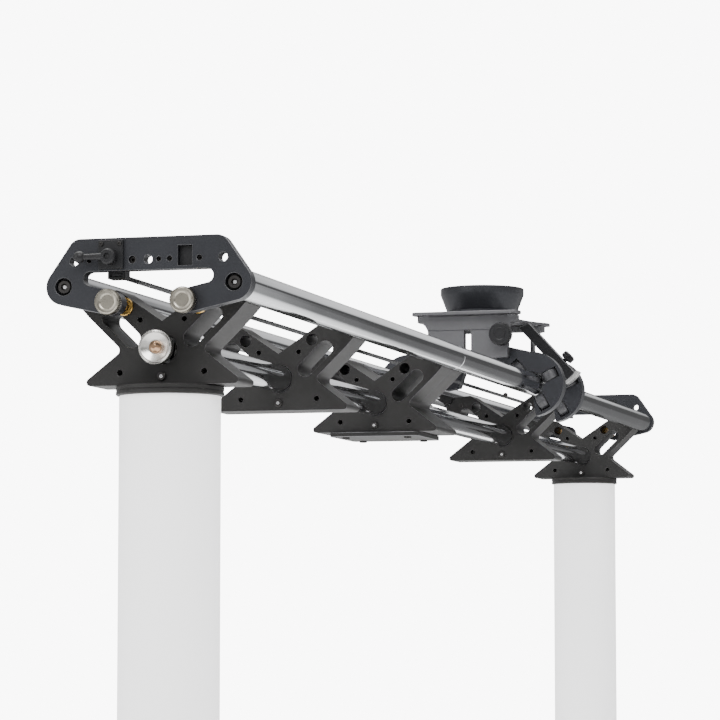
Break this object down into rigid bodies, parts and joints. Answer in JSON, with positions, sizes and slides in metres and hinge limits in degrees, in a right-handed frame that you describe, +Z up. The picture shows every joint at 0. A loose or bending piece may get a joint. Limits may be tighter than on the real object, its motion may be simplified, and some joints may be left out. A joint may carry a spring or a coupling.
{
  "type": "camera slider",
  "caption": "Two-rail camera slider in two modules on X-shaped brackets, with a roller carriage, 100 mm bowl, belt and tripod pucks.",
  "frame": {"origin": "middle of the bounding box, on the surface that the two tripod pucks stand on", "axes": "+X along the rails from the near end plate to the far one, +Y across to the left rail, +Z up"},
  "size_m": [2.0178, 0.2418, 0.2256],
  "materials": {
    "plate_anodise": "dark grey satin anodised",
    "bracket_anodise": "black satin anodised",
    "polished_steel": "mirror polished stainless steel",
    "satin_nickel": "satin nickel, knurled on knobs",
    "brass": "turned brass",
    "belt_rubber": "black toothed belt",
    "black_plastic": "black, lightly textured",
    "grey_anodise": "mid grey bead-blasted anodised",
    "roller_urethane": "dark grey urethane tread"
  },
  "bodies": {
    "frame": {"belt_clamp_far": "black_plastic", "belt_clamp_near": "black_plastic", "belt_tensioner_far": "black_plastic", "belt_tensioner_near": "black_plastic", "brass_nut_far_left": "brass", "brass_nut_far_right": "brass", "brass_nut_near_left": "brass", "brass_nut_near_right": "brass", "cross_bracket_far": "bracket_anodise", "cross_bracket_first_middle": "bracket_anodise", "cross_bracket_joint_first": "bracket_anodise", "cross_bracket_joint_second": "bracket_anodise", "cross_bracket_near": "bracket_anodise", "cross_bracket_second_middle": "bracket_anodise", "end_plate_far": "plate_anodise", "end_plate_near": "plate_anodise", "joint_plate": "bracket_anodise", "rail_bolt_far_left": "satin_nickel", "rail_bolt_far_right": "satin_nickel", "rail_bolt_near_left": "satin_nickel", "rail_bolt_near_right": "satin_nickel", "rail_left_first": "polished_steel", "rail_left_second": "polished_steel", "rail_right_first": "polished_steel", "rail_right_second": "polished_steel", "spine_first": "polished_steel", "spine_second": "polished_steel", "timing_belt": "belt_rubber", "tripod_puck_far": "bracket_anodise", "tripod_puck_near": "bracket_anodise"},
    "carriage": {"brace_left": "black_plastic", "brace_right": "black_plastic", "carriage_deck": "grey_anodise", "head_bowl": "plate_anodise", "riser_front": "grey_anodise", "riser_rear": "grey_anodise", "yoke_front_left": "plate_anodise", "yoke_front_right": "plate_anodise", "yoke_rear_left": "plate_anodise", "yoke_rear_right": "plate_anodise"},
    "lock_knob": {"lock_knob": "black_plastic"},
    "module_screw_left": {"module_screw_left": "satin_nickel"},
    "module_screw_right": {"module_screw_right": "satin_nickel"},
    "spine_screw": {"spine_screw": "satin_nickel"},
    "tension_lever": {"tension_lever": "black_plastic"},
    "thumb_screw_left": {"thumb_screw_left": "black_plastic"},
    "thumb_screw_right": {"thumb_screw_right": "black_plastic"},
    "roller_front_left_side": {"roller_front_left_side": "roller_urethane"},
    "roller_front_left_top": {"roller_front_left_top": "roller_urethane"},
    "roller_front_left_under": {"roller_front_left_under": "roller_urethane"},
    "roller_front_right_side": {"roller_front_right_side": "roller_urethane"},
    "roller_front_right_top": {"roller_front_right_top": "roller_urethane"},
    "roller_front_right_under": {"roller_front_right_under": "roller_urethane"},
    "roller_rear_left_side": {"roller_rear_left_side": "roller_urethane"},
    "roller_rear_left_top": {"roller_rear_left_top": "roller_urethane"},
    "roller_rear_left_under": {"roller_rear_left_under": "roller_urethane"},
    "roller_rear_right_side": {"roller_rear_right_side": "roller_urethane"},
    "roller_rear_right_top": {"roller_rear_right_top": "roller_urethane"},
    "roller_rear_right_under": {"roller_rear_right_under": "roller_urethane"}
  },
  "joints": [
    {"name": "carriage_slide", "type": "slide", "parent": "frame", "child": "carriage", "axis": [1, 0, 0], "range_m": [-1.166, 0.606]},
    {"name": "roller_front_left_side_spin", "type": "hinge", "parent": "carriage", "child": "roller_front_left_side", "pos_m": [0.2252, 0.10293, 0.10599], "axis": [0, 0.4226, -0.9063], "continuous": true},
    {"name": "roller_front_left_top_spin", "type": "hinge", "parent": "carriage", "child": "roller_front_left_top", "pos_m": [0.2252, 0.06374, 0.11468], "axis": [0, 0.766, 0.6428], "continuous": true},
    {"name": "roller_front_left_under_spin", "type": "hinge", "parent": "carriage", "child": "roller_front_left_under", "pos_m": [0.2252, 0.09265, 0.07339], "axis": [0, -0.866, -0.5], "continuous": true},
    {"name": "roller_front_right_side_spin", "type": "hinge", "parent": "carriage", "child": "roller_front_right_side", "pos_m": [0.2252, -0.10293, 0.10599], "axis": [0, 0.4226, 0.9063], "continuous": true},
    {"name": "roller_front_right_top_spin", "type": "hinge", "parent": "carriage", "child": "roller_front_right_top", "pos_m": [0.2252, -0.06374, 0.11468], "axis": [0, 0.766, -0.6428], "continuous": true},
    {"name": "roller_front_right_under_spin", "type": "hinge", "parent": "carriage", "child": "roller_front_right_under", "pos_m": [0.2252, -0.09265, 0.07339], "axis": [0, -0.866, 0.5], "continuous": true},
    {"name": "roller_rear_left_side_spin", "type": "hinge", "parent": "carriage", "child": "roller_rear_left_side", "pos_m": [0.3466, 0.10293, 0.10599], "axis": [0, 0.4226, -0.9063], "continuous": true},
    {"name": "roller_rear_left_top_spin", "type": "hinge", "parent": "carriage", "child": "roller_rear_left_top", "pos_m": [0.3466, 0.06374, 0.11468], "axis": [0, 0.766, 0.6428], "continuous": true},
    {"name": "roller_rear_left_under_spin", "type": "hinge", "parent": "carriage", "child": "roller_rear_left_under", "pos_m": [0.3466, 0.09265, 0.07339], "axis": [0, -0.866, -0.5], "continuous": true},
    {"name": "roller_rear_right_side_spin", "type": "hinge", "parent": "carriage", "child": "roller_rear_right_side", "pos_m": [0.3466, -0.10293, 0.10599], "axis": [0, 0.4226, 0.9063], "continuous": true},
    {"name": "roller_rear_right_top_spin", "type": "hinge", "parent": "carriage", "child": "roller_rear_right_top", "pos_m": [0.3466, -0.06374, 0.11468], "axis": [0, 0.766, -0.6428], "continuous": true},
    {"name": "roller_rear_right_under_spin", "type": "hinge", "parent": "carriage", "child": "roller_rear_right_under", "pos_m": [0.3466, -0.09265, 0.07339], "axis": [0, -0.866, 0.5], "continuous": true},
    {"name": "lock_knob_turn", "type": "hinge", "parent": "carriage", "child": "lock_knob", "pos_m": [0.2019, -0.046, 0.1573], "axis": [-1, 0, 0], "range_deg": [-180, 180]},
    {"name": "thumb_screw_left_turn", "type": "hinge", "parent": "carriage", "child": "thumb_screw_left", "pos_m": [0.3266, 0.09477, 0.12884], "axis": [0, 0.7356, 0.6774], "range_deg": [-180, 180]},
    {"name": "thumb_screw_right_turn", "type": "hinge", "parent": "carriage", "child": "thumb_screw_right", "pos_m": [0.3266, -0.09477, 0.12884], "axis": [0, -0.7356, 0.6774], "range_deg": [-180, 180]},
    {"name": "module_screw_left_turn", "type": "hinge", "parent": "frame", "child": "module_screw_left", "pos_m": [-0.9941, 0.035, 0.0798], "axis": [-1, 0, 0], "range_deg": [-360, 360]},
    {"name": "module_screw_right_turn", "type": "hinge", "parent": "frame", "child": "module_screw_right", "pos_m": [-0.9941, -0.035, 0.0798], "axis": [-1, 0, 0], "range_deg": [-360, 360]},
    {"name": "spine_screw_turn", "type": "hinge", "parent": "frame", "child": "spine_screw", "pos_m": [-0.9941, 0, 0.0413], "axis": [-1, 0, 0], "range_deg": [-360, 360]},
    {"name": "tension_lever_turn", "type": "hinge", "parent": "frame", "child": "tension_lever", "pos_m": [-0.9974, 0.0345, 0.1203], "axis": [-1, 0, 0], "range_deg": [-60, 60]}
  ],
  "couplings": [
    {"joint": "roller_front_left_side_spin", "follows": "carriage_slide", "rad_per_m": 90.909},
    {"joint": "roller_front_left_top_spin", "follows": "carriage_slide", "rad_per_m": 90.909},
    {"joint": "roller_front_left_under_spin", "follows": "carriage_slide", "rad_per_m": 90.909},
    {"joint": "roller_front_right_side_spin", "follows": "carriage_slide", "rad_per_m": 90.909},
    {"joint": "roller_front_right_top_spin", "follows": "carriage_slide", "rad_per_m": 90.909},
    {"joint": "roller_front_right_under_spin", "follows": "carriage_slide", "rad_per_m": 90.909},
    {"joint": "roller_rear_left_side_spin", "follows": "carriage_slide", "rad_per_m": 90.909},
    {"joint": "roller_rear_left_top_spin", "follows": "carriage_slide", "rad_per_m": 90.909},
    {"joint": "roller_rear_left_under_spin", "follows": "carriage_slide", "rad_per_m": 90.909},
    {"joint": "roller_rear_right_side_spin", "follows": "carriage_slide", "rad_per_m": 90.909},
    {"joint": "roller_rear_right_top_spin", "follows": "carriage_slide", "rad_per_m": 90.909},
    {"joint": "roller_rear_right_under_spin", "follows": "carriage_slide", "rad_per_m": 90.909}
  ]
}
